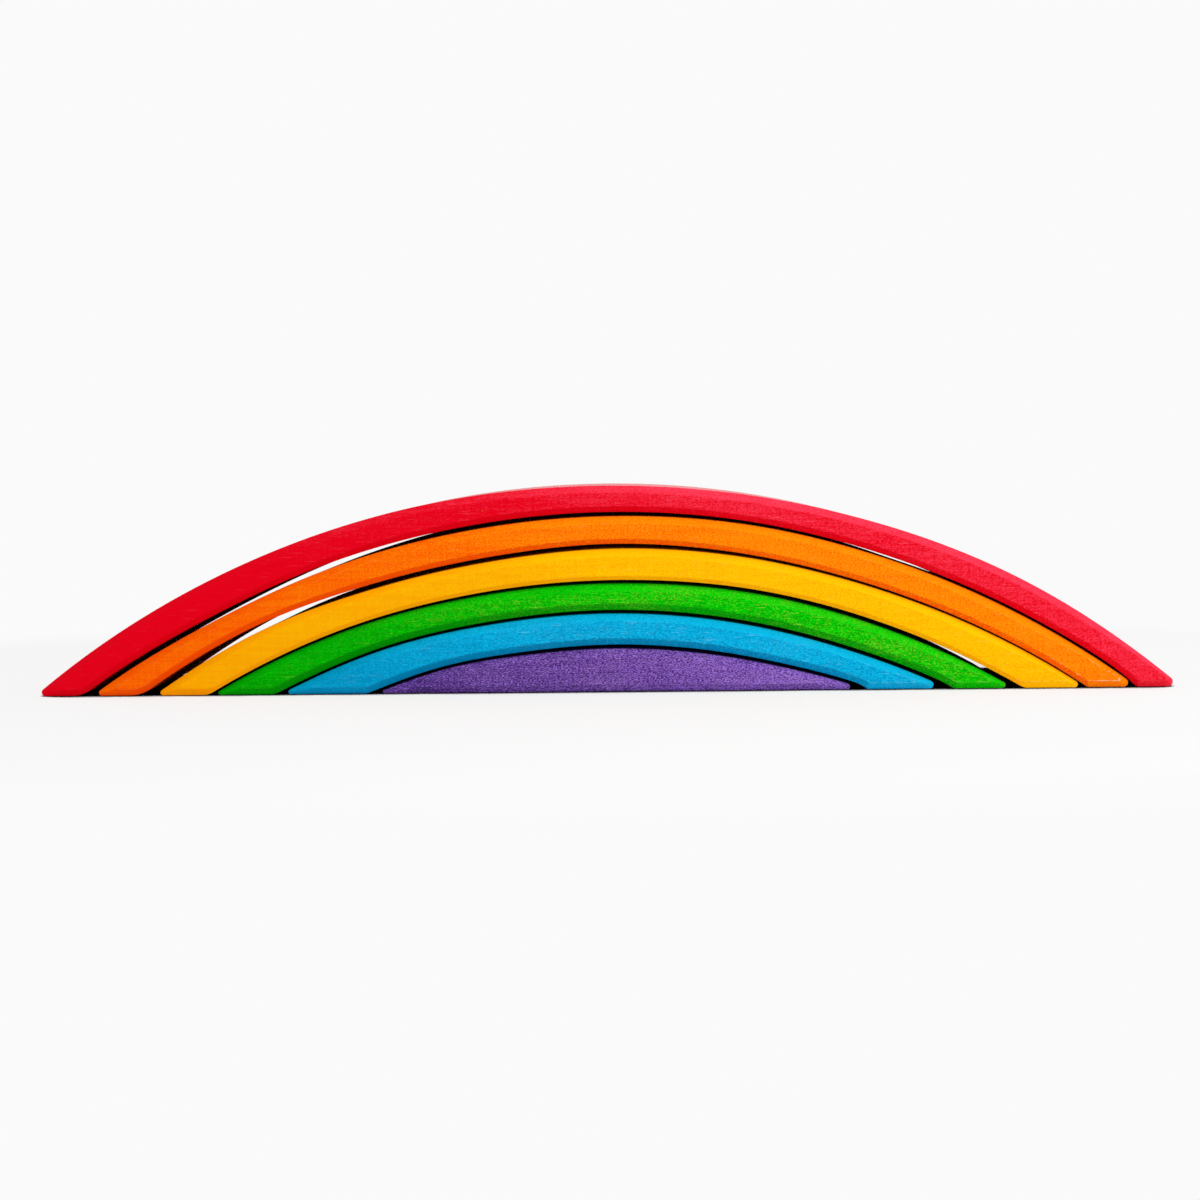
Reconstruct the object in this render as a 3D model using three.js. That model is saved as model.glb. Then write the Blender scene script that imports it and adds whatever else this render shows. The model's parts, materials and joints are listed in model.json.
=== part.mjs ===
// A rainbow bridge block: five low wooden arches and a middle block, sawn out of one plank and nested.
// Millimetres. X runs along the arches, Y through their depth with the front at -Y, and Z up from the table.
// Every arc shares one centre below the table, so each saw cut leaves the same gap all the way round.

import * as THREE from 'three';
import { toCreasedNormals } from 'three/addons/utils/BufferGeometryUtils.js';

// The sawn plank
const SPAN = 405; // chord of the outermost arc at the table, before its two tips are rounded
const DEPTH = 70; // front face to back face
const KERF = 1.1; // width of every saw cut
const BLOCK_HEIGHT = 14.9; // crown of the middle block above the table

// Thickness of each arch across its band
const BLUE_THICKNESS = 11.1;
const GREEN_THICKNESS = 9.8;
const YELLOW_THICKNESS = 11.1;
const ORANGE_THICKNESS = 10.4;
const RED_THICKNESS = 10.2;

// The sanded edges
const CHAMFER = 2.5; // 45 degree chamfer round the front and the back of each piece
const TIP_RADIUS = 1; // rounding of the sharp outer end of a foot
const RED_TIP_RADIUS = 1.5; // the outermost feet are sanded blunter
const HEEL_RADIUS = 1.5; // rounding where a foot turns up into the inner arc
const CORNER_RADIUS = 0.4; // least rounding of the corners of the faces inside the chamfer

// How the loose pieces stand: aside is the share of its side play that a piece has slid, +1 to the right
const NEAREST_GAP = 0.3; // between a piece slid fully aside and the one around it

// How finely the round stretches are stepped
const ARC_STEPS = 48;
const ROUNDING_STEPS = 5;
const CREASE_ANGLE = 0.3; // edges sharper than this many radians shade as edges

const BLOCK = { name: 'violet_block', colour: 0x74509e, tipRadius: TIP_RADIUS, aside: 0.3 };

// The arches from the inside out
const BRIDGES = [
  { name: 'blue_bridge', colour: 0x0aa0cf, thickness: BLUE_THICKNESS, tipRadius: TIP_RADIUS, aside: -0.27 },
  { name: 'green_bridge', colour: 0x1eb206, thickness: GREEN_THICKNESS, tipRadius: TIP_RADIUS, aside: -0.57 },
  { name: 'yellow_bridge', colour: 0xfcb402, thickness: YELLOW_THICKNESS, tipRadius: TIP_RADIUS, aside: 1 },
  { name: 'orange_bridge', colour: 0xfb7404, thickness: ORANGE_THICKNESS, tipRadius: TIP_RADIUS, aside: 0.9 },
  { name: 'red_bridge', colour: 0xe61030, thickness: RED_THICKNESS, tipRadius: RED_TIP_RADIUS, aside: 0 },
];

// The crown heights stack up from the table, and with the span they give the one centre of all the arcs
const RISE = BRIDGES.reduce((height, bridge) => height + KERF + bridge.thickness, BLOCK_HEIGHT);
const OUTERMOST_RADIUS = (SPAN * SPAN / 4 + RISE * RISE) / (2 * RISE);
const CENTRE_Z = RISE - OUTERMOST_RADIUS;

function arcPoints(x, z, radius, from, to, steps) {
  const clockwise = to < from;
  return new THREE.EllipseCurve(x, z, radius, radius, from, to, clockwise).getPoints(steps);
}

// Centre of a rounding that touches a foot's sole and stands off the common centre by the given distance
function roundingCentre(sole, radius, fromCommonCentre) {
  const z = sole + radius;
  const x = Math.sqrt(fromCommonCentre ** 2 - (z - CENTRE_Z) ** 2);
  return { x, z, angle: Math.atan2(z - CENTRE_Z, x) };
}

// Over the back of a piece: right tip, outer arc and left tip
function backPoints(outerRadius, tipRadius, sole) {
  const tip = roundingCentre(sole, tipRadius, outerRadius - tipRadius);
  const rightTip = arcPoints(tip.x, tip.z, tipRadius, -Math.PI / 2, tip.angle, ROUNDING_STEPS);
  const arc = arcPoints(0, CENTRE_Z, outerRadius, tip.angle, Math.PI - tip.angle, ARC_STEPS);
  const leftTip = arcPoints(-tip.x, tip.z, tipRadius, Math.PI - tip.angle, Math.PI * 3 / 2, ROUNDING_STEPS);
  return [...rightTip, ...arc.slice(1, -1), ...leftTip];
}

// Under an arch: left heel, inner arc and right heel
function underPoints(innerRadius, heelRadius, sole) {
  const heel = roundingCentre(sole, heelRadius, innerRadius + heelRadius);
  const leftHeel = arcPoints(-heel.x, heel.z, heelRadius, -Math.PI / 2, -heel.angle, ROUNDING_STEPS);
  const arc = arcPoints(0, CENTRE_Z, innerRadius, Math.PI - heel.angle, heel.angle, ARC_STEPS);
  const rightHeel = arcPoints(heel.x, heel.z, heelRadius, heel.angle - Math.PI, -Math.PI / 2, ROUNDING_STEPS);
  return [...leftHeel, ...arc.slice(1, -1), ...rightHeel];
}

// Outline of a piece in X and Z, drawn in by an inset; the middle block has no inner arc
function outline(piece, inset) {
  const tipRadius = Math.max(piece.tipRadius - inset, CORNER_RADIUS);
  const back = backPoints(piece.outerRadius - inset, tipRadius, inset);
  if (!piece.innerRadius) {
    return back;
  }
  const heelRadius = Math.max(HEEL_RADIUS - inset, CORNER_RADIUS);
  return [...back, ...underPoints(piece.innerRadius + inset, heelRadius, inset)];
}

// A closed solid through matching outlines, each at its own depth, with a flat face at both ends
function loft(sections) {
  const count = sections[0].points.length;
  const positions = sections.flatMap(({ points, y }) => points.flatMap((point) => [point.x, y, point.y]));
  const triangles = [];
  for (let section = 0; section < sections.length - 1; section += 1) {
    for (let point = 0; point < count; point += 1) {
      const a = section * count + point;
      const b = section * count + (point + 1) % count;
      triangles.push(a, a + count, b, b, a + count, b + count);
    }
  }
  const backStart = count * (sections.length - 1);
  for (const [a, b, c] of THREE.ShapeUtils.triangulateShape(sections[0].points, [])) {
    triangles.push(a, b, c);
    triangles.push(backStart + a, backStart + c, backStart + b);
  }
  const geometry = new THREE.BufferGeometry();
  geometry.setAttribute('position', new THREE.Float32BufferAttribute(positions, 3));
  geometry.setIndex(triangles);
  return toCreasedNormals(geometry, CREASE_ANGLE);
}

// Chamfered in from both faces: the full outline runs through the middle of the depth
function chamferedPiece(piece) {
  const full = outline(piece, 0);
  const face = outline(piece, CHAMFER);
  return loft([
    { points: face, y: -DEPTH / 2 },
    { points: full, y: -DEPTH / 2 + CHAMFER },
    { points: full, y: DEPTH / 2 - CHAMFER },
    { points: face, y: DEPTH / 2 },
  ]);
}

// How far a piece stands to the right of the one around it, within the play of the saw cut at the feet
function slidAside(piece) {
  const footSlope = Math.sqrt(1 - (CENTRE_Z / piece.outerRadius) ** 2);
  return piece.aside * (KERF - NEAREST_GAP) / footSlope;
}

function woodenMesh(piece) {
  const material = new THREE.MeshStandardMaterial({ color: piece.colour, roughness: 0.6, metalness: 0 });
  const mesh = new THREE.Mesh(chamferedPiece(piece), material);
  mesh.name = piece.name;
  return mesh;
}

// From the outermost arch inwards, each piece starts a saw cut inside the last
const rainbow = new THREE.Group();
let outerRadius = OUTERMOST_RADIUS;
let x = 0;
for (const piece of [...BRIDGES].reverse()) {
  const innerRadius = outerRadius - piece.thickness;
  const mesh = woodenMesh({ ...piece, outerRadius, innerRadius });
  x += slidAside({ ...piece, outerRadius });
  mesh.position.x = x;
  rainbow.add(mesh);
  outerRadius = innerRadius - KERF;
}
const block = woodenMesh({ ...BLOCK, outerRadius });
block.position.x = x + slidAside({ ...BLOCK, outerRadius });
rainbow.add(block);

export default rainbow;
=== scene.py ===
"""A nested rainbow bridge block of stained lime wood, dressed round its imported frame. Metres, +Z up."""
import json
import math
from dataclasses import dataclass

import bpy
from mathutils import Matrix, Vector


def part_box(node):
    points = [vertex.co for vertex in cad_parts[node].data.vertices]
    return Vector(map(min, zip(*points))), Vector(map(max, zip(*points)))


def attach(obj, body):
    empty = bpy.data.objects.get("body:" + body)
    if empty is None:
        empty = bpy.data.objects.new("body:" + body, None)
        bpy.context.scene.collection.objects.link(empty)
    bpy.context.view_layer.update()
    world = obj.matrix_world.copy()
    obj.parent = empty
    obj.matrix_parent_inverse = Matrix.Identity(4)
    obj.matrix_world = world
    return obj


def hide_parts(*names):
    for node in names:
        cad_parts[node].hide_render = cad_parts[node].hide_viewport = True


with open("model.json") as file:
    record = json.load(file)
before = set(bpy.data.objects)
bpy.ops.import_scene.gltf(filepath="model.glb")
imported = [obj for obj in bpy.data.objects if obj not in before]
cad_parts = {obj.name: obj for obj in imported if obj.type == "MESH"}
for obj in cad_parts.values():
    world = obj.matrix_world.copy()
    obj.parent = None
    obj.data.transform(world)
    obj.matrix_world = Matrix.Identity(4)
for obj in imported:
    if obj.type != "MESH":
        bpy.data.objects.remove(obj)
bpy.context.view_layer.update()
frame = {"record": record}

MM = 0.001

# The pieces from the outside in
COLOURS = ["red", "orange", "yellow", "green", "blue", "violet"]
NODES = {colour: f"{colour}_bridge" for colour in COLOURS[:-1]} | {"violet": "violet_block"}

# The sawn and sanded wood
KERF = 1.1 * MM
FRAME_TIP_RADIUS = 1.5 * MM  # rounding of the red tips in the frame
CHAMFER = 2.5 * MM
CHAMFER_ANGLE = math.pi / 4
FACE_ARRIS_RADIUS = 0.8 * MM  # softened edge between a face and its chamfer
WALL_ARRIS_RADIUS = 0.5 * MM  # softened edge between a chamfer and the sawn wall
CORNER_RADIUS = 0.5 * MM  # least rounding of a face's corners
RIGHT_TIP_CHAMFER = 0.45  # share of the chamfer's width that is left over each right tip
TIP_TAPER_START = 0.75  # where that narrowing begins, from the crown 0 to the tip 1

# Rounding of the left and the right tip of each piece
TIP_RADII = {
    "red": (1.4 * MM, 1.75 * MM),
    "orange": (1.1 * MM, 1.6 * MM),
    "yellow": (1.0 * MM, 1.2 * MM),
    "green": (0.7 * MM, 1.1 * MM),
    "blue": (0.85 * MM, 1.4 * MM),
    "violet": (0.6 * MM, 1.0 * MM),
}

# Rounding of the left and the right heel of each arch, where a sole turns up into the underside
HEEL_RADII = {
    "red": (12 * MM, 2.5 * MM),
    "orange": (13 * MM, 2.3 * MM),
    "yellow": (9 * MM, 7.5 * MM),
    "green": (8 * MM, 3.5 * MM),
    "blue": (6 * MM, 1.5 * MM),
}

# Wood sanded off each underside, in millimetres, at even places from its left foot to its right
UNDER_SANDED = {
    "red": (0.35, 0.2, 0.35, 0.4, 0.25, 0.35, 0.5),
    "orange": (0.75, 0.45, 0.35, 0.6, 0.25, 0.15, 0.1),
    "yellow": (0.15, 0.25, 0.15),
    "green": (0, 0.22, 0.14),
    "blue": (-0.4, 0.35, 0.45),
}

# How far some undersides dip where the cut runs out at the right foot
HEEL_FLARE = {"red": 0.95 * MM, "green": 0.6 * MM, "blue": 1.0 * MM}
HEEL_FLARE_START = 0.93  # where the dip begins, from the crown 0 to the end of the foot 1

# Width of the chamfer along each underside, as a share of the full chamfer
UNDER_CHAMFER = {"red": 0.8, "orange": 0.75, "yellow": 0.6, "green": 0.95, "blue": 0.95}

# How far that chamfer runs back from the face, as a share of the full chamfer, where it is sanded flatter
UNDER_BEVEL = {"yellow": 0.25}

# Outlines beside the softened edges, which keep the faces next to them flat
FACE_MARGINS = (0.6 * MM, 0.25 * MM)
CHAMFER_SHARES = (0.7, 0.3)  # from the wall 0 to the face 1
WALL_MARGIN = 0.35 * MM

# How finely the meshes are stepped
ARC_STEPS = 144
ROUNDING_STEPS = 8
ARRIS_STEPS = 4
WALL_STEPS = 10
SETTLING_STEPS = 5

# Sizes of the marks in the wood along x, y and z
BLOTCH_SIZE = (60 * MM, 30 * MM, 22 * MM)
STREAK_SIZE = (38 * MM, 3.5 * MM, 1.4 * MM)
FIBRE_SIZE = (14 * MM, 0.5 * MM, 0.35 * MM)
PORE_SIZE = (0.75 * MM, 0.36 * MM, 0.22 * MM)
PLANER_MARK_SIZE = (0.6 * MM, 40 * MM, 30 * MM)
SAW_MARK_SIZE = (0.8 * MM, 60 * MM, 5 * MM)
FLECK_SIZE = (0.5 * MM, 0.36 * MM, 0.24 * MM)
FLECK_PATCH_SIZE = (30 * MM, 12 * MM, 8 * MM)
THREAD_SIZE = (9 * MM, 0.5 * MM, 0.3 * MM)
RUB_SIZE = (2.2 * MM, 1.2 * MM, 1.0 * MM)
PIECE_OFFSET = Vector((0.31, 0.17, 0.23))  # between the places in the wood that neighbours come from

# Painted light: the stain is painted paler towards the right, where the key light falls, and more speckled
# there as a painted sheen
PAINTED_LIGHT_RANGE = (-0.16, 0.08)
LEFT_SPECKLE = 0.25
SHEEN_SPECKLE_GAIN = 0.8

# How much each kind of mark, and the painted light and shade, lightens the tone of the stain
# painted light, paler towards the right
PAINTED_LIGHT_TONE = 0.45
# painted shade on the chamfers along the undersides
UNDERSIDE_SHADE_TONE = -0.48
BLOTCH_TONE = 0.5
STREAK_TONE = 0.6
FIBRE_TONE = 0.7
WALL_FIBRE_TONE = 0.9
SPECKLE_TONE = 4
PLANER_MARK_TONE = 0.4
SAW_MARK_TONE = 0.8
PORE_SKEW = 1.5  # makes the pale pores stronger than the dark
SAWN_SPECKLE = -0.6  # the sawn walls are less speckled than the faces
SOLE_UNDER_SHARE = 0.3  # how much the edges of the arches' soles count as underside: that share of the painted shade on the lower chamfers, and of the flatter bevel
# painted shade on the rough sawn walls in the kerfs
SAWN_WALL_SHADE = 0.32

# Bare fibre: noise below the first value shows none, and above the second all
FLECK_RANGE = (0.12, 0.24)
FLECK_PATCHINESS = 0.5
THREAD_RANGE = (0.15, 0.26)
THREAD_STRENGTH = 0.5

# Pin knots in the lime wood
PIN_KNOT_SPACING = 14 * MM
PIN_KNOT_RADIUS = 0.35 * MM
PIN_KNOT_CORE = 0.5  # share of the radius that is fully dark
PIN_KNOT_STRENGTH = 0.75
PIN_KNOT_COLOUR = "#a0701c"

# Edges rubbed bare, most of all low down on the right feet
RUB_RANGE = (0.0, 0.2)
SOLE_HEIGHTS = (7 * MM, 2 * MM)
SOLE_RUB = 0.12
FOOT_HEIGHTS = (16 * MM, 3 * MM)
HANDLED_RANGE = (-0.12, 0.18)
LEAST_RUB = 0.06

# Gloss and relief of the oiled wood
ROUGHNESS = 0.5
SAWN_ROUGHNESS = 0.42
POLISHED_ROUGHNESS = -0.7
PORE_ROUGHNESS = 0.25
STREAK_ROUGHNESS = 0.15
SPECULAR_LEVEL = 0.015
FIBRE_RELIEF = 0.4
PORE_RELIEF = 0.7
PLANER_MARK_RELIEF = 0.5
SAW_MARK_RELIEF = 1.0
RELIEF_HEIGHT = 0.05 * MM
RELIEF_STRENGTH = 0.6

# The camera, from the photograph
PHOTO_SIZE = 1200
FOCAL_PIXELS = 1974
HORIZON_ROW = 459.4
SENSOR_WIDTH = 36
CAMERA_PLACE = Vector((0.008, -0.7294, 0.0821))
CAMERA_SHIFT = -0.028  # the photograph is cropped a little off its middle
CAMERA_ROLL = math.radians(0.508)

# The light
BACKGROUND_WHITE = 0.955
AMBIENT_STRENGTH = 0.7
DIM_REFLECTION = 0.12  # what gloss reflects from behind the camera
BACKDROP_RANGE = (-0.15, 0.1)  # from behind the camera to the backdrop, by the y of a direction
KEY_PLACE = Vector((0.52, -0.68, 0.82))
KEY_SIZE = 0.6
KEY_WATTS = 5.6

# The table
TABLE_HALF_WIDTH = 3.0
TABLE_BOUNCE = 0.93
SHADED_REACH = (0.45, 0.3)  # half widths of the oval that shows the object's shadow
SHADED_RANGE = (0.4, 1.0)  # where its edge fades, as shares of those
NEAR_PLAINNESS = 0.7  # how much like the backdrop the table is inside the oval
OPENNESS_SAMPLES = 8

# How far round a place on the table is looked for cover, and how open it is when dark and when light; the
# last two paint a shadow into the table's white
COVERED = (80 * MM, 0.15, 0.4)
SHADOW_EDGE = (9 * MM, 0.46, 0.75)
CONTACT_SHADOW = (3 * MM, 0.45, 0.8)


@dataclass
class SawCut:
    """How far a hand-guided cut runs outside its arc, in millimetres, at even places from left to right.

    strays holds at the front face, lean is what is gained from there to the back, and bow half way to it.
    """
    strays: tuple
    lean: tuple = (0, 0, 0)
    bow: tuple = (0, 0, 0)


# From the outside in
SAW_CUTS = [
    SawCut((1.6, 1.15, 0.7, -0.05, 0.1, 0.85, -0.1)),
    SawCut(
        (0.8, -0.5, -0.1, 0.1, 0.45, 0.7, 0.2, -0.05, 0.5),
        lean=(0.1, 0.25, 0.45, 1.2, 0.7, 0.6, 0.3, -0.2, -0.2),
        bow=(0, 0, 0, 0, 0.1, 0.1, 0.1, 2.0, 1.5),
    ),
    SawCut(
        (0.4, 1.1, -0.05, -0.3, 0.45, 0.4, -0.05, 0.1, 0.55),
        lean=(-0.6, 0.15, 0.9, 0.5, 0, 0, 0, 0, 0),
        bow=(0, 0, 0.6, 0.75, 0.9),
    ),
    SawCut((0.85, 0.95, 0.45, 0.35, 0.65, 0.1, -0.15), lean=(0.3, 0, 0.1), bow=(1.2, 0.4, 0)),
    SawCut((0.3, 1.05, 0.55, 0.6, 0.3, -0.25, -0.1)),
    SawCut((-0.2, 0.8, 0.25, 0.35, 0.1, -0.1, 0.4)),
]


@dataclass
class Stain:
    """deep and pale are the ends of the grain's tone, fleck is bare fibre and worn is a rubbed edge"""
    deep: str
    pale: str
    fleck: str
    worn: str
    tone: float  # from deep 0 to pale 1, where the stain is strongest
    speckle: float
    flecks: float
    wear: float
    chamfer_highlight: float = 0.45  # painted highlight: how much paler the upper chamfer is towards the right, where the key light falls


STAINS = {
    "red": Stain(
        "#e6001a", "#fe405c", "#ff6a80", "#ff7888", tone=-0.2, speckle=0.4, flecks=0.06, wear=0.2
    ),
    "orange": Stain(
        "#fc5600", "#ff9604", "#ffa840", "#ffd098", tone=0.18, speckle=0.8, flecks=0.06, wear=0.95
    ),
    "yellow": Stain(
        "#fca200", "#ffc802", "#ffcf40", "#ffe080", tone=0.18, speckle=0.5, flecks=0.06, wear=0.2
    ),
    "green": Stain(
        "#009c02", "#08d405", "#c8dc40", "#c8e880", tone=0.14, speckle=0.8, flecks=0.25, wear=0.3
    ),
    "blue": Stain(
        "#0090c2", "#08bcee", "#90d4ec", "#b8e4f0", tone=0.15, speckle=0.9, flecks=0.1, wear=0.2
    ),
    "violet": Stain(
        "#442570", "#a272dc", "#d0a0dc", "#b090cc", tone=0.0, speckle=0.85, flecks=0.4, wear=0.4, chamfer_highlight=0
    ),
}


@dataclass
class Piece:
    """One loose piece of the rainbow, with the arcs that its outline needs"""
    colour: str
    node: str
    body: str
    x: float
    outer_radius: float
    inner_radius: float  # 0 on the middle block, which is solid
    cut: int  # number of the saw cut over its back, counted from the outside


def common_centre(crown, half_width, tip_radius):
    """Height of the one centre of all the arcs, from a piece's crown and where its rounded tips end"""
    over_tip = (crown - tip_radius) ** 2 - tip_radius ** 2 - (half_width - tip_radius) ** 2
    return over_tip / (2 * (crown - 2 * tip_radius))


red_low, red_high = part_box(NODES["red"])
CENTRE_Z = common_centre(red_high.z, (red_high.x - red_low.x) / 2, FRAME_TIP_RADIUS)
FRONT_Y, BACK_Y = red_low.y, red_high.y


def read_pieces():
    """The pieces at the places and sizes that the frame gives"""
    bodies = frame["record"]["behaviour"]["bodies"]
    body_of_node = {node: body for body, nodes in bodies.items() for node in nodes}
    boxes = [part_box(NODES[colour]) for colour in COLOURS]
    radii = [high.z - CENTRE_Z for low, high in boxes]
    pieces = []
    for cut, colour in enumerate(COLOURS):
        low, high = boxes[cut]
        inner = radii[cut + 1] + KERF if colour in UNDER_SANDED else 0
        body = body_of_node[NODES[colour]]
        pieces.append(Piece(colour, NODES[colour], body, (low.x + high.x) / 2, radii[cut], inner, cut))
    return pieces


def at_place(values, along):
    """A value at a place from -1 to 1, on a smooth curve through values at even places from left to right"""
    last = len(values) - 1
    place = (along + 1) / 2 * last
    step = min(int(place), last - 1)
    t = place - step
    before, here, there, after = [values[min(max(step + i, 0), last)] for i in (-1, 0, 1, 2)]
    bend = 2 * before - 5 * here + 4 * there - after + t * (3 * (here - there) + after - before)
    return here + 0.5 * t * (there - before + t * bend)


def stray(number, behind, along):
    """How far a saw cut runs outside its arc at a place along it, at a share of the depth behind the front"""
    cut = SAW_CUTS[number]
    lean = at_place(cut.lean, along) * behind
    bow = at_place(cut.bow, along) * math.sin(math.pi * behind)
    return MM * (at_place(cut.strays, along) + lean + bow)


def arc(x, z, radius, start, end, steps):
    angles = [start + (end - start) * step / steps for step in range(steps + 1)]
    return [(x + radius * math.cos(a), z + radius * math.sin(a)) for a in angles]


def place_along(angle, radius):
    """Where an angle lies along an arc, from -1 at its left end on the table to 1 at its right"""
    end = math.acos(-CENTRE_Z / radius)
    return min(max((math.pi / 2 - angle) / end, -1), 1)


def sawn_arc(radius, start, end, strayed_by):
    """An arc about the common centre from one foot to the other, strayed and without its ends"""
    points = []
    for step in range(1, ARC_STEPS):
        angle = start + (end - start) * step / ARC_STEPS
        strayed = radius + strayed_by(place_along(angle, radius))
        points.append((strayed * math.cos(angle), CENTRE_Z + strayed * math.sin(angle)))
    return points


def end_rounding(side, sole, rounding, outside, radius, strayed_by):
    """Place of a rounding that touches the sole and a strayed arc, and the angle at which it meets the arc.

    side is -1 for the left foot and 1 for the right. outside is 1 for a rounding that lies outside the arc,
    and -1 for one inside it.
    """
    along = side
    z = sole + rounding
    for _ in range(SETTLING_STEPS):
        from_centre = radius + strayed_by(along) + rounding * outside
        x = math.sqrt(from_centre ** 2 - (z - CENTRE_Z) ** 2)
        angle = math.atan2(z - CENTRE_Z, x)
        along = side * place_along(angle, radius)
    return x, z, angle


def back_chamfer(along):
    """Share of the chamfer's full width at a place along a piece's back"""
    t = min(max((along - TIP_TAPER_START) / (1 - TIP_TAPER_START), 0), 1)
    return 1 - (1 - RIGHT_TIP_CHAMFER) * t * t * (3 - 2 * t)


def heel_flare(piece, along):
    """How far a piece's underside dips at a place along it"""
    t = max((along - HEEL_FLARE_START) / (1 - HEEL_FLARE_START), 0)
    return HEEL_FLARE.get(piece.colour, 0) * t * t


def back_points(piece, inset, behind):
    """Right tip, back and left tip of an outline, and how far from the middle its two tips stand"""
    def strayed_by(along):
        return stray(piece.cut, behind, along) - inset * back_chamfer(along)

    down = -math.pi / 2
    left_tip, right_tip = TIP_RADII[piece.colour]
    left_tip = max(left_tip - inset * back_chamfer(-1), CORNER_RADIUS)
    right_tip = max(right_tip - inset * back_chamfer(1), CORNER_RADIUS)
    left_x, left_z, left_angle = end_rounding(-1, inset, left_tip, -1, piece.outer_radius, strayed_by)
    right_x, right_z, right_angle = end_rounding(1, inset, right_tip, -1, piece.outer_radius, strayed_by)
    points = arc(right_x, right_z, right_tip, down, right_angle, ROUNDING_STEPS)
    points += sawn_arc(piece.outer_radius, right_angle, math.pi - left_angle, strayed_by)
    points += arc(-left_x, left_z, left_tip, math.pi - left_angle, down + 2 * math.pi, ROUNDING_STEPS)
    return points, left_x, right_x


def under_points(piece, inset, behind):
    """Left heel, underside and right heel of an arch's outline"""
    def strayed_by(along):
        sanded = MM * at_place(UNDER_SANDED[piece.colour], along) - heel_flare(piece, along)
        return stray(piece.cut + 1, behind, along) + sanded + inset * UNDER_CHAMFER[piece.colour]

    down = -math.pi / 2
    left_heel, right_heel = [max(radius - inset, CORNER_RADIUS) for radius in HEEL_RADII[piece.colour]]
    left_x, left_z, left_angle = end_rounding(-1, inset, left_heel, 1, piece.inner_radius, strayed_by)
    right_x, right_z, right_angle = end_rounding(1, inset, right_heel, 1, piece.inner_radius, strayed_by)
    points = arc(-left_x, left_z, left_heel, down, -left_angle, ROUNDING_STEPS)
    points += sawn_arc(piece.inner_radius, math.pi - left_angle, right_angle, strayed_by)
    points += arc(right_x, right_z, right_heel, right_angle - math.pi, down, ROUNDING_STEPS)
    return points


def outline(piece, inset, behind):
    """The piece's outline in x and z, drawn in by an inset, at a share of the depth behind the front face.

    It runs anticlockwise from under the right tip.
    """
    points, left_x, right_x = back_points(piece, inset, behind)
    if piece.inner_radius:
        points += under_points(piece, inset, behind)
    else:
        step = (right_x + left_x) / ARC_STEPS
        points += [(-left_x + step * i, inset) for i in range(1, ARC_STEPS)]
    return [(piece.x + x, z) for x, z in points]


@dataclass
class Ring:
    """One outline of a piece's loft, with what the shader needs to know about the surface there"""
    inset: float
    depth: float  # behind the nearer face
    arris: float = 0  # 1 on a softened edge
    face: float = 0  # 1 on the planed front and back
    sawn: float = 0  # 1 on the sawn back and underside


def edge_rings():
    """From the planed face over the chamfer and its two softened edges to the wall"""
    reach = math.tan(CHAMFER_ANGLE / 2)
    face_edge = CHAMFER + FACE_ARRIS_RADIUS * reach
    wall_edge = CHAMFER + WALL_ARRIS_RADIUS * reach
    turned = [step / ARRIS_STEPS for step in range(ARRIS_STEPS + 1)]
    rings = [Ring(face_edge + margin, 0, face=1) for margin in FACE_MARGINS]
    for share in turned:
        inset = face_edge - FACE_ARRIS_RADIUS * math.sin(CHAMFER_ANGLE * share)
        depth = FACE_ARRIS_RADIUS * (1 - math.cos(CHAMFER_ANGLE * share))
        rings.append(Ring(inset, depth, arris=math.sin(math.pi * share) ** 2, face=1 - share))
    for share in CHAMFER_SHARES:
        rings.append(Ring(CHAMFER * share, CHAMFER * (1 - share)))
    for share in reversed(turned):
        inset = WALL_ARRIS_RADIUS * (1 - math.cos(CHAMFER_ANGLE * share))
        depth = wall_edge - WALL_ARRIS_RADIUS * math.sin(CHAMFER_ANGLE * share)
        rings.append(Ring(inset, depth, arris=math.sin(math.pi * share) ** 2, sawn=1 - share))
    rings.append(Ring(0, wall_edge + WALL_MARGIN, sawn=1))
    return rings


def loft_sections(rings):
    """Each outline of a loft with its y: the rings in from the front, the wall, and the rings out again"""
    wall = rings[-1]
    wall_length = BACK_Y - FRONT_Y - 2 * wall.depth
    sections = [(ring, FRONT_Y + ring.depth) for ring in rings]
    for step in range(1, WALL_STEPS):
        sections.append((wall, FRONT_Y + wall.depth + wall_length * step / WALL_STEPS))
    return sections + [(ring, BACK_Y - ring.depth) for ring in reversed(rings)]


def undersides(piece):
    """How much each point of an outline counts as underside, for the painted shade on its chamfers and the
    flatter bevel: none over the back, all on an underside
    """
    if not piece.inner_radius:
        return [0] * 2 * (ROUNDING_STEPS + ARC_STEPS)
    tip = [SOLE_UNDER_SHARE * step / ROUNDING_STEPS for step in range(ROUNDING_STEPS + 1)]
    heel = [SOLE_UNDER_SHARE + (1 - SOLE_UNDER_SHARE) * step / ROUNDING_STEPS for step in range(ROUNDING_STEPS + 1)]
    over = list(reversed(tip)) + [0] * (ARC_STEPS - 1) + tip
    return over + heel + [1] * (ARC_STEPS - 1) + list(reversed(heel))


def loft_vertices(piece, sections, wall, under_shares):
    """The points of every outline, with the chamfer drawn forward where the underside is sanded flatter"""
    flatter = [1 - under_share * (1 - UNDER_BEVEL.get(piece.colour, 1)) for under_share in under_shares]
    vertices = []
    for ring, y in sections:
        behind = (y - FRONT_Y) / (BACK_Y - FRONT_Y)
        nearer_face = FRONT_Y if behind < 0.5 else BACK_Y
        set_back = y - nearer_face
        for (x, z), share in zip(outline(piece, ring.inset, behind), flatter):
            vertices.append((x, y if ring is wall else nearer_face + set_back * share, z))
    return vertices


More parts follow.
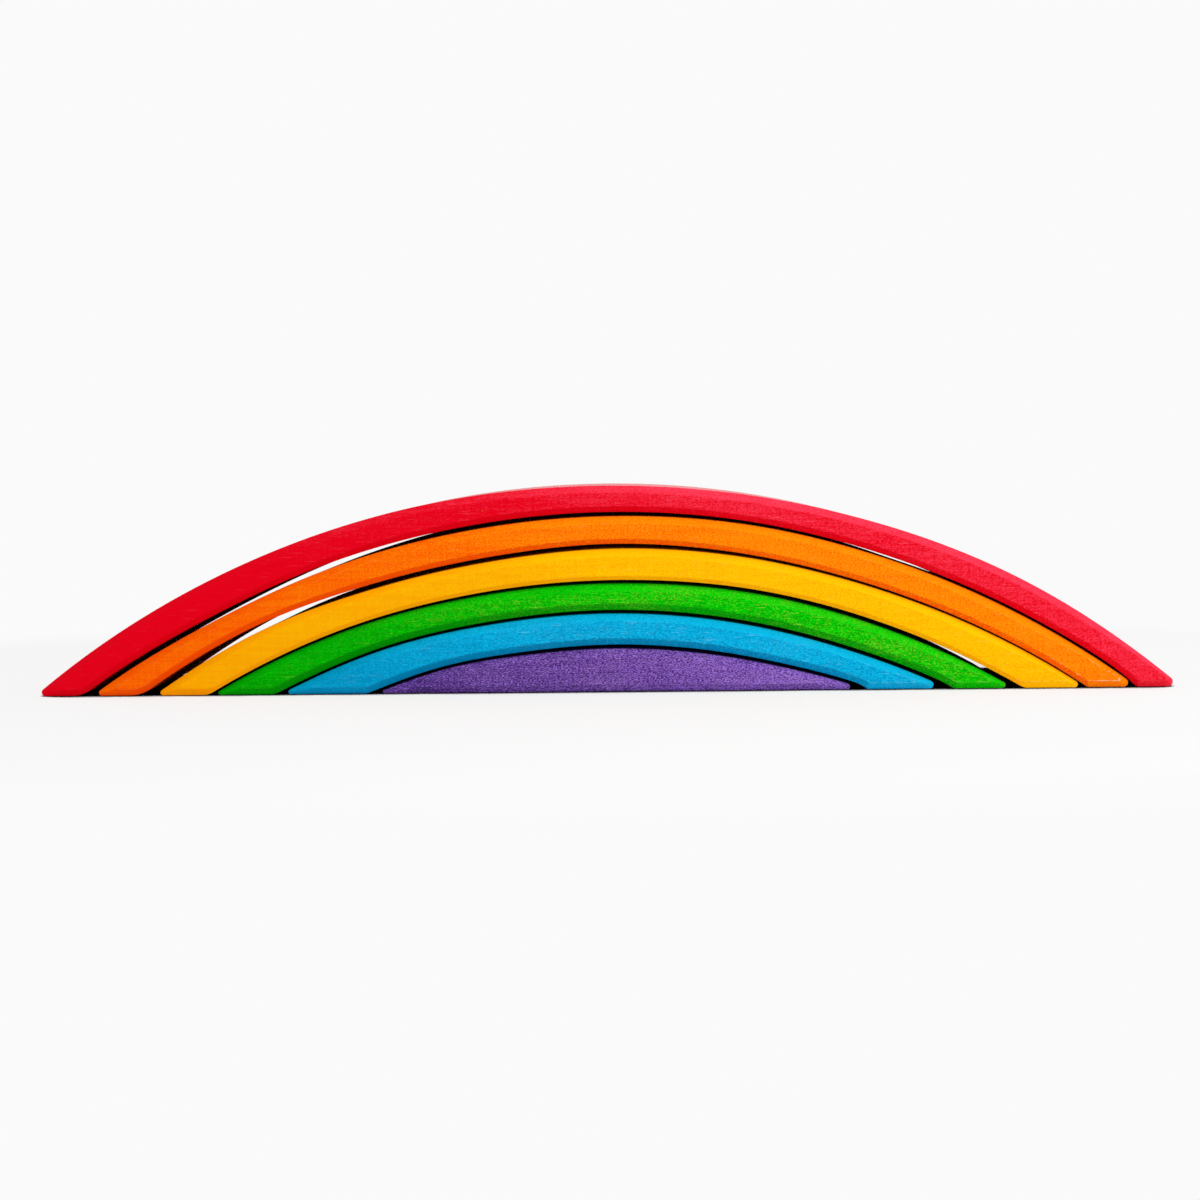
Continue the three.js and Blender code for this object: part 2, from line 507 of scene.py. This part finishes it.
def end_face(piece, count):
    """Faces that fill the front outline: quads across the band, and one polygon at each foot"""
    right_tip = list(range(ROUNDING_STEPS + 1))
    back = [right_tip[-1] + step for step in range(ARC_STEPS + 1)]
    left_tip = list(range(back[-1], back[-1] + ROUNDING_STEPS + 1))
    if piece.inner_radius:
        left_heel = list(range(left_tip[-1] + 1, left_tip[-1] + ROUNDING_STEPS + 2))
        under = [left_heel[-1] + step for step in range(ARC_STEPS + 1)]
        right_heel = list(range(under[-1], count))
        feet = [right_heel + right_tip, left_tip + left_heel]
    else:
        under = [left_tip[-1] + step for step in range(ARC_STEPS)] + [0]
        feet = [right_tip, left_tip]
    quads = []
    for step in range(ARC_STEPS):
        opposite = ARC_STEPS - step
        quads.append([back[step], back[step + 1], under[opposite - 1], under[opposite]])
    return quads + feet


def loft_faces(piece, section_count, count):
    """Quads from each outline to the next, and the front and back faces"""
    faces = []
    for section in range(section_count - 1):
        for point in range(count):
            here = section * count + point
            beside = section * count + (point + 1) % count
            faces.append([here, here + count, beside + count, beside])
    front = end_face(piece, count)
    back_start = count * (section_count - 1)
    return faces + front + [[back_start + i for i in reversed(face)] for face in front]


def surface_facts(piece, sections, under_shares):
    """What the shader needs to know at every point; only the red arch's outer wall is sanded to a polish"""
    facts = {}
    for fact in ("arris", "face", "sawn"):
        facts[fact] = [getattr(ring, fact) for ring, y in sections for _ in under_shares]
    facts["under"] = under_shares * len(sections)
    polish = 1 if piece.colour == "red" else 0
    facts["polished"] = [polish * sawn * (1 - under) for sawn, under in zip(facts["sawn"], facts["under"])]
    return facts


def piece_mesh(piece):
    """A closed loft through the outlines of both faces, with its surface facts as attributes"""
    rings = edge_rings()
    sections = loft_sections(rings)
    under_shares = undersides(piece)
    vertices = loft_vertices(piece, sections, rings[-1], under_shares)
    mesh = bpy.data.meshes.new(piece.node + "_wood")
    mesh.from_pydata(vertices, [], loft_faces(piece, len(sections), len(under_shares)))
    for fact, values in surface_facts(piece, sections, under_shares).items():
        mesh.attributes.new(fact, "FLOAT", "POINT").data.foreach_set("value", values)
    mesh.shade_smooth()
    return mesh


def linear(hex_colour):
    """A colour as a screen shows it, to the linear red, green, blue and alpha that shaders take"""
    parts = [int(hex_colour[i:i + 2], 16) / 255 for i in (1, 3, 5)]
    return (*[p / 12.92 if p <= 0.04045 else ((p + 0.055) / 1.055) ** 2.4 for p in parts], 1.0)


def grey(level):
    return (level, level, level, 1)


def new_material(name):
    material = bpy.data.materials.new(name)
    material.use_nodes = True
    material.node_tree.nodes.clear()
    return material, material.node_tree


def add_node(tree, kind, inputs, **settings):
    """A shader node whose inputs are numbers, colours or other nodes' outputs"""
    node = tree.nodes.new(kind)
    for name, value in settings.items():
        setattr(node, name, value)
    for name, value in inputs.items():
        if isinstance(value, bpy.types.NodeSocket):
            tree.links.new(value, node.inputs[name])
        else:
            node.inputs[name].default_value = value
    return node


def calculate(tree, operation, *values, clamp=False):
    inputs = dict(enumerate(values))
    return add_node(tree, "ShaderNodeMath", inputs, operation=operation, use_clamp=clamp).outputs[0]


def multiply(tree, first, second):
    return calculate(tree, "MULTIPLY", first, second)


def mix_colours(tree, factor, first, second):
    inputs = {0: factor, 6: first, 7: second}
    return add_node(tree, "ShaderNodeMix", inputs, data_type="RGBA").outputs[2]


def between(tree, value, low, high):
    """0 at low, 1 at high, and a smooth step from one to the other"""
    inputs = {"Value": value, "From Min": low, "From Max": high}
    return add_node(tree, "ShaderNodeMapRange", inputs, interpolation_type="SMOOTHSTEP").outputs[0]


def attribute(tree, name):
    return add_node(tree, "ShaderNodeAttribute", {}, attribute_name=name).outputs["Fac"]


def grain_noise(tree, place, size, detail=2.0):
    """Noise about 0 whose features measure size along x, y and z"""
    mapping = add_node(tree, "ShaderNodeMapping", {"Vector": place, "Scale": [1 / length for length in size]})
    inputs = {"Vector": mapping.outputs[0], "Scale": 1.0, "Detail": detail}
    noise = add_node(tree, "ShaderNodeTexNoise", inputs)
    return calculate(tree, "SUBTRACT", noise.outputs["Fac"], 0.5)


def weighted_sum(tree, start, terms):
    total = start
    for value, weight in terms:
        total = calculate(tree, "MULTIPLY_ADD", value, weight, total)
    return total


class Wood:
    """What the parts of a stained wood's shader share: its places, surface facts and marks"""
    def __init__(self, tree, offset):
        coordinates = add_node(tree, "ShaderNodeTexCoord", {}).outputs["Object"]
        shifted = add_node(tree, "ShaderNodeVectorMath", {0: coordinates, 1: offset}, operation="ADD")
        self.place = shifted.outputs[0]
        axes = add_node(tree, "ShaderNodeSeparateXYZ", {0: coordinates}).outputs
        self.x, self.z = axes["X"], axes["Z"]
        # Painted light, from 0 on the left to 1 on the right, where the key light falls
        self.painted_light = between(tree, self.x, *PAINTED_LIGHT_RANGE)
        # Real pore speckle and threads, painted stronger towards the right as a sheen from the key light
        self.speckle_and_sheen = calculate(tree, "MULTIPLY_ADD", self.painted_light, SHEEN_SPECKLE_GAIN, LEFT_SPECKLE)

        self.arris = attribute(tree, "arris")
        self.face = attribute(tree, "face")
        self.sawn = attribute(tree, "sawn")
        self.polished = attribute(tree, "polished")
        self.planed = calculate(tree, "SUBTRACT", 1.0, self.sawn)
        self.rough_sawn = calculate(tree, "SUBTRACT", self.sawn, self.polished)

        self.streaks = grain_noise(tree, self.place, STREAK_SIZE)
        self.fibres = grain_noise(tree, self.place, FIBRE_SIZE)
        pores = grain_noise(tree, self.place, PORE_SIZE, detail=0.0)
        self.pores = multiply(tree, pores, calculate(tree, "MULTIPLY_ADD", pores, PORE_SKEW, 1.0))
        planer_marks = grain_noise(tree, self.place, PLANER_MARK_SIZE, detail=1.0)
        self.planer_marks = multiply(tree, planer_marks, self.face)
        saw_marks = grain_noise(tree, self.place, SAW_MARK_SIZE)
        self.saw_marks = multiply(tree, saw_marks, self.rough_sawn)


def grain_colour(tree, wood, stain):
    """The stain over the grain, with painted shade on the chamfers along the undersides, and a painted
    highlight on the upper chamfers, paler towards the right
    """
    chamfer = calculate(tree, "SUBTRACT", wood.planed, wood.face)
    # Painted shade on the chamfers along the undersides, which face down, away from the lamp
    painted_underside_shade = multiply(tree, chamfer, attribute(tree, "under"))
    # Painted highlight on the upper chamfers, which face up towards the key light, growing towards the right
    painted_chamfer_highlight = multiply(tree, calculate(tree, "SUBTRACT", chamfer, painted_underside_shade), wood.painted_light)
    # pore speckle, painted stronger towards the right as a sheen
    speckle = multiply(tree, wood.pores, wood.speckle_and_sheen)
    speckle = multiply(tree, speckle, calculate(tree, "MULTIPLY_ADD", wood.sawn, SAWN_SPECKLE, 1.0))
    tone = weighted_sum(tree, stain.tone, [
        # painted light, paler towards the right
        (wood.painted_light, PAINTED_LIGHT_TONE),
        # painted highlight on the upper chamfers
        (painted_chamfer_highlight, stain.chamfer_highlight),
        # painted shade on the lower chamfers
        (painted_underside_shade, UNDERSIDE_SHADE_TONE),
        (grain_noise(tree, wood.place, BLOTCH_SIZE), BLOTCH_TONE),
        (wood.streaks, STREAK_TONE),
        (wood.fibres, FIBRE_TONE),
        (multiply(tree, wood.fibres, wood.sawn), WALL_FIBRE_TONE),
        (speckle, SPECKLE_TONE * stain.speckle),
        (wood.planer_marks, PLANER_MARK_TONE),
        (wood.saw_marks, SAW_MARK_TONE),
    ])
    tone = calculate(tree, "ADD", tone, 0.0, clamp=True)
    return mix_colours(tree, tone, linear(stain.deep), linear(stain.pale))


def with_flecks(tree, wood, stain, colour):
    """Short flecks of bare fibre, in patches"""
    noise = grain_noise(tree, wood.place, FLECK_SIZE, detail=0.0)
    patches = grain_noise(tree, wood.place, FLECK_PATCH_SIZE, detail=3.0)
    flecks = between(tree, weighted_sum(tree, noise, [(patches, FLECK_PATCHINESS)]), *FLECK_RANGE)
    # bare fibre, shown more towards the right along with the painted light
    flecks = multiply(tree, flecks, multiply(tree, wood.painted_light, stain.flecks))
    return mix_colours(tree, flecks, colour, linear(stain.fleck))


def with_threads(tree, wood, stain, colour):
    """Long threads of bare fibre on the planed faces"""
    noise = grain_noise(tree, wood.place, THREAD_SIZE, detail=1.0)
    threads = multiply(tree, between(tree, noise, *THREAD_RANGE), wood.face)
    # bare fibre threads, shown more strongly towards the right with the painted sheen
    threads = multiply(tree, threads, multiply(tree, wood.speckle_and_sheen, THREAD_STRENGTH))
    return mix_colours(tree, threads, colour, linear(stain.fleck))


def with_pin_knots(tree, wood, colour):
    cells = {"Vector": wood.place, "Scale": 1 / PIN_KNOT_SPACING, "Randomness": 1.0}
    from_knot = add_node(tree, "ShaderNodeTexVoronoi", cells).outputs["Distance"]
    radius = PIN_KNOT_RADIUS / PIN_KNOT_SPACING
    knots = multiply(tree, between(tree, from_knot, radius, PIN_KNOT_CORE * radius), wood.planed)
    return mix_colours(tree, multiply(tree, knots, PIN_KNOT_STRENGTH), colour, linear(PIN_KNOT_COLOUR))


def with_rubbed_edges(tree, wood, stain, colour):
    noise = grain_noise(tree, wood.place, RUB_SIZE, detail=4.0)
    sole = between(tree, wood.z, *SOLE_HEIGHTS)
    rub = between(tree, weighted_sum(tree, noise, [(sole, SOLE_RUB)]), *RUB_RANGE)
    foot = between(tree, wood.z, *FOOT_HEIGHTS)
    handled = multiply(tree, foot, between(tree, wood.x, *HANDLED_RANGE))
    rub = multiply(tree, rub, calculate(tree, "MULTIPLY_ADD", handled, 1 - LEAST_RUB, LEAST_RUB))
    rub = multiply(tree, rub, multiply(tree, wood.arris, stain.wear))
    return mix_colours(tree, rub, colour, linear(stain.worn))


def with_painted_wall_shade(tree, wood, colour):
    """Painted shade: the rough sawn walls, which face into the kerfs between the pieces and down onto the
    table, are mixed towards black
    """
    return mix_colours(tree, multiply(tree, wood.rough_sawn, SAWN_WALL_SHADE), colour, grey(0))


def wood_roughness(tree, wood):
    return weighted_sum(tree, ROUGHNESS, [
        (wood.sawn, SAWN_ROUGHNESS),
        (wood.polished, POLISHED_ROUGHNESS),
        (wood.pores, PORE_ROUGHNESS),
        (wood.streaks, STREAK_ROUGHNESS),
    ])


def wood_relief(tree, wood):
    height = weighted_sum(tree, 0.0, [
        (wood.fibres, FIBRE_RELIEF),
        (wood.pores, PORE_RELIEF),
        (wood.planer_marks, PLANER_MARK_RELIEF),
        (wood.saw_marks, SAW_MARK_RELIEF),
    ])
    inputs = {"Height": height, "Distance": RELIEF_HEIGHT, "Strength": RELIEF_STRENGTH}
    return add_node(tree, "ShaderNodeBump", inputs).outputs[0]


def stained_wood(name, stain, offset):
    """Lime wood under a thin stain: grain along x, planer marks and pores on the faces, rubbed edges"""
    material, tree = new_material(name)
    wood = Wood(tree, offset)
    colour = grain_colour(tree, wood, stain)
    colour = with_flecks(tree, wood, stain, colour)
    colour = with_threads(tree, wood, stain, colour)
    colour = with_pin_knots(tree, wood, colour)
    colour = with_rubbed_edges(tree, wood, stain, colour)
    # painted shade on the sawn walls
    colour = with_painted_wall_shade(tree, wood, colour)
    surface = {
        "Base Color": colour,
        "Roughness": wood_roughness(tree, wood),
        "Specular IOR Level": SPECULAR_LEVEL,
        "Normal": wood_relief(tree, wood),
    }
    shader = add_node(tree, "ShaderNodeBsdfPrincipled", surface)
    add_node(tree, "ShaderNodeOutputMaterial", {"Surface": shader.outputs[0]})
    return material


def add_piece(piece):
    obj = bpy.data.objects.new(piece.node + "_wood", piece_mesh(piece))
    bpy.context.scene.collection.objects.link(obj)
    offset = PIECE_OFFSET * piece.cut
    obj.data.materials.append(stained_wood(f"{piece.colour}_stain", STAINS[piece.colour], offset))
    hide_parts(piece.node)
    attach(obj, piece.body)


def seen_directly(tree):
    """1 for what the camera sees, by itself or in a reflection or through glass"""
    path = add_node(tree, "ShaderNodeLightPath", {}).outputs
    seen = calculate(tree, "MAXIMUM", path["Is Camera Ray"], path["Is Glossy Ray"])
    return calculate(tree, "MAXIMUM", seen, path["Is Transmission Ray"])


def openness(tree, distance, dark, light):
    """0 where the object nearly closes off the table within a distance, and 1 where it is open"""
    inputs = {"Distance": distance}
    nearby = add_node(tree, "ShaderNodeAmbientOcclusion", inputs, samples=OPENNESS_SAMPLES).outputs["AO"]
    return between(tree, nearby, dark, light)


def table_plainness(tree):
    """How much the table shows as the plain backdrop: least near the object, and not at all under it"""
    place = add_node(tree, "ShaderNodeTexCoord", {}).outputs["Object"]
    scale = [1 / reach for reach in SHADED_REACH] + [1]
    oval = add_node(tree, "ShaderNodeMapping", {"Vector": place, "Scale": scale}).outputs[0]
    far = add_node(tree, "ShaderNodeVectorMath", {0: oval}, operation="LENGTH").outputs["Value"]
    plain = calculate(tree, "MAXIMUM", between(tree, far, *SHADED_RANGE), NEAR_PLAINNESS)
    return multiply(tree, plain, openness(tree, *COVERED))


def table_white():
    """White, with a painted shadow where the object closes it off, darkest along the line where the object
    stands on it
    """
    material, tree = new_material("floor_white")
    # Painted shadow: the table's white darkens where the object closes it off
    light = calculate(tree, "MINIMUM", openness(tree, *SHADOW_EDGE), openness(tree, *CONTACT_SHADOW))
    white = mix_colours(tree, light, grey(0), grey(BACKGROUND_WHITE))
    lit = add_node(tree, "ShaderNodeBsdfDiffuse", {"Color": white}).outputs[0]
    glow = add_node(tree, "ShaderNodeEmission", {"Color": white}).outputs[0]
    shown = add_node(tree, "ShaderNodeMixShader", {0: table_plainness(tree), 1: lit, 2: glow}).outputs[0]
    bounce = add_node(tree, "ShaderNodeBsdfDiffuse", {"Color": grey(TABLE_BOUNCE)}).outputs[0]
    surface = add_node(tree, "ShaderNodeMixShader", {0: seen_directly(tree), 1: bounce, 2: shown})
    add_node(tree, "ShaderNodeOutputMaterial", {"Surface": surface.outputs[0]})
    return material


def add_floor():
    """A white table: shaded close to the object, and as plain as the backdrop further away"""
    half = TABLE_HALF_WIDTH
    mesh = bpy.data.meshes.new("floor")
    corners = [(-half, -half, 0), (half, -half, 0), (half, half, 0), (-half, half, 0)]
    mesh.from_pydata(corners, [], [(0, 1, 2, 3)])
    mesh.materials.append(table_white())
    floor = bpy.data.objects.new("floor", mesh)
    bpy.context.scene.collection.objects.link(floor)


def add_world():
    """White where it is seen, dim behind the camera in reflections, and a plain soft light on the object"""
    world = bpy.data.worlds.new("studio")
    bpy.context.scene.world = world
    world.use_nodes = True
    tree = world.node_tree
    tree.nodes.clear()
    direction = add_node(tree, "ShaderNodeTexCoord", {}).outputs["Generated"]
    ahead = add_node(tree, "ShaderNodeSeparateXYZ", {0: direction}).outputs["Y"]
    backdrop = between(tree, ahead, *BACKDROP_RANGE)
    brighter = BACKGROUND_WHITE - DIM_REFLECTION
    reflected = calculate(tree, "MULTIPLY_ADD", backdrop, brighter, DIM_REFLECTION)
    path = add_node(tree, "ShaderNodeLightPath", {}).outputs
    shown = calculate(tree, "MAXIMUM", path["Is Camera Ray"], path["Is Transmission Ray"])
    lighting = {0: path["Is Glossy Ray"], 2: AMBIENT_STRENGTH, 3: reflected}
    strength = add_node(tree, "ShaderNodeMix", lighting).outputs[0]
    strength = add_node(tree, "ShaderNodeMix", {0: shown, 2: strength, 3: BACKGROUND_WHITE}).outputs[0]
    light = add_node(tree, "ShaderNodeBackground", {"Color": grey(1), "Strength": strength})
    add_node(tree, "ShaderNodeOutputWorld", {"Surface": light.outputs[0]})


def add_key_light():
    """One softbox, above the camera and to its right"""
    light = bpy.data.lights.new("key", "AREA")
    light.size = KEY_SIZE
    light.energy = KEY_WATTS
    lamp = bpy.data.objects.new("key", light)
    lamp.location = KEY_PLACE
    lamp.rotation_euler = (-KEY_PLACE).to_track_quat("-Z", "Y").to_euler()
    bpy.context.scene.collection.objects.link(lamp)


def add_camera():
    data = bpy.data.cameras.new("camera")
    data.sensor_width = SENSOR_WIDTH
    data.lens = SENSOR_WIDTH * FOCAL_PIXELS / PHOTO_SIZE
    data.shift_x = CAMERA_SHIFT
    camera = bpy.data.objects.new("camera", data)
    pitch = math.atan((PHOTO_SIZE / 2 - HORIZON_ROW) / FOCAL_PIXELS)
    turn = Matrix.Rotation(math.pi / 2 - pitch, 4, "X") @ Matrix.Rotation(-CAMERA_ROLL, 4, "Z")
    camera.matrix_world = Matrix.Translation(CAMERA_PLACE) @ turn
    bpy.context.scene.collection.objects.link(camera)
    bpy.context.scene.camera = camera


for piece in read_pieces():
    add_piece(piece)
add_floor()
add_world()
add_key_light()
add_camera()
bpy.context.scene.view_settings.view_transform = "Standard"
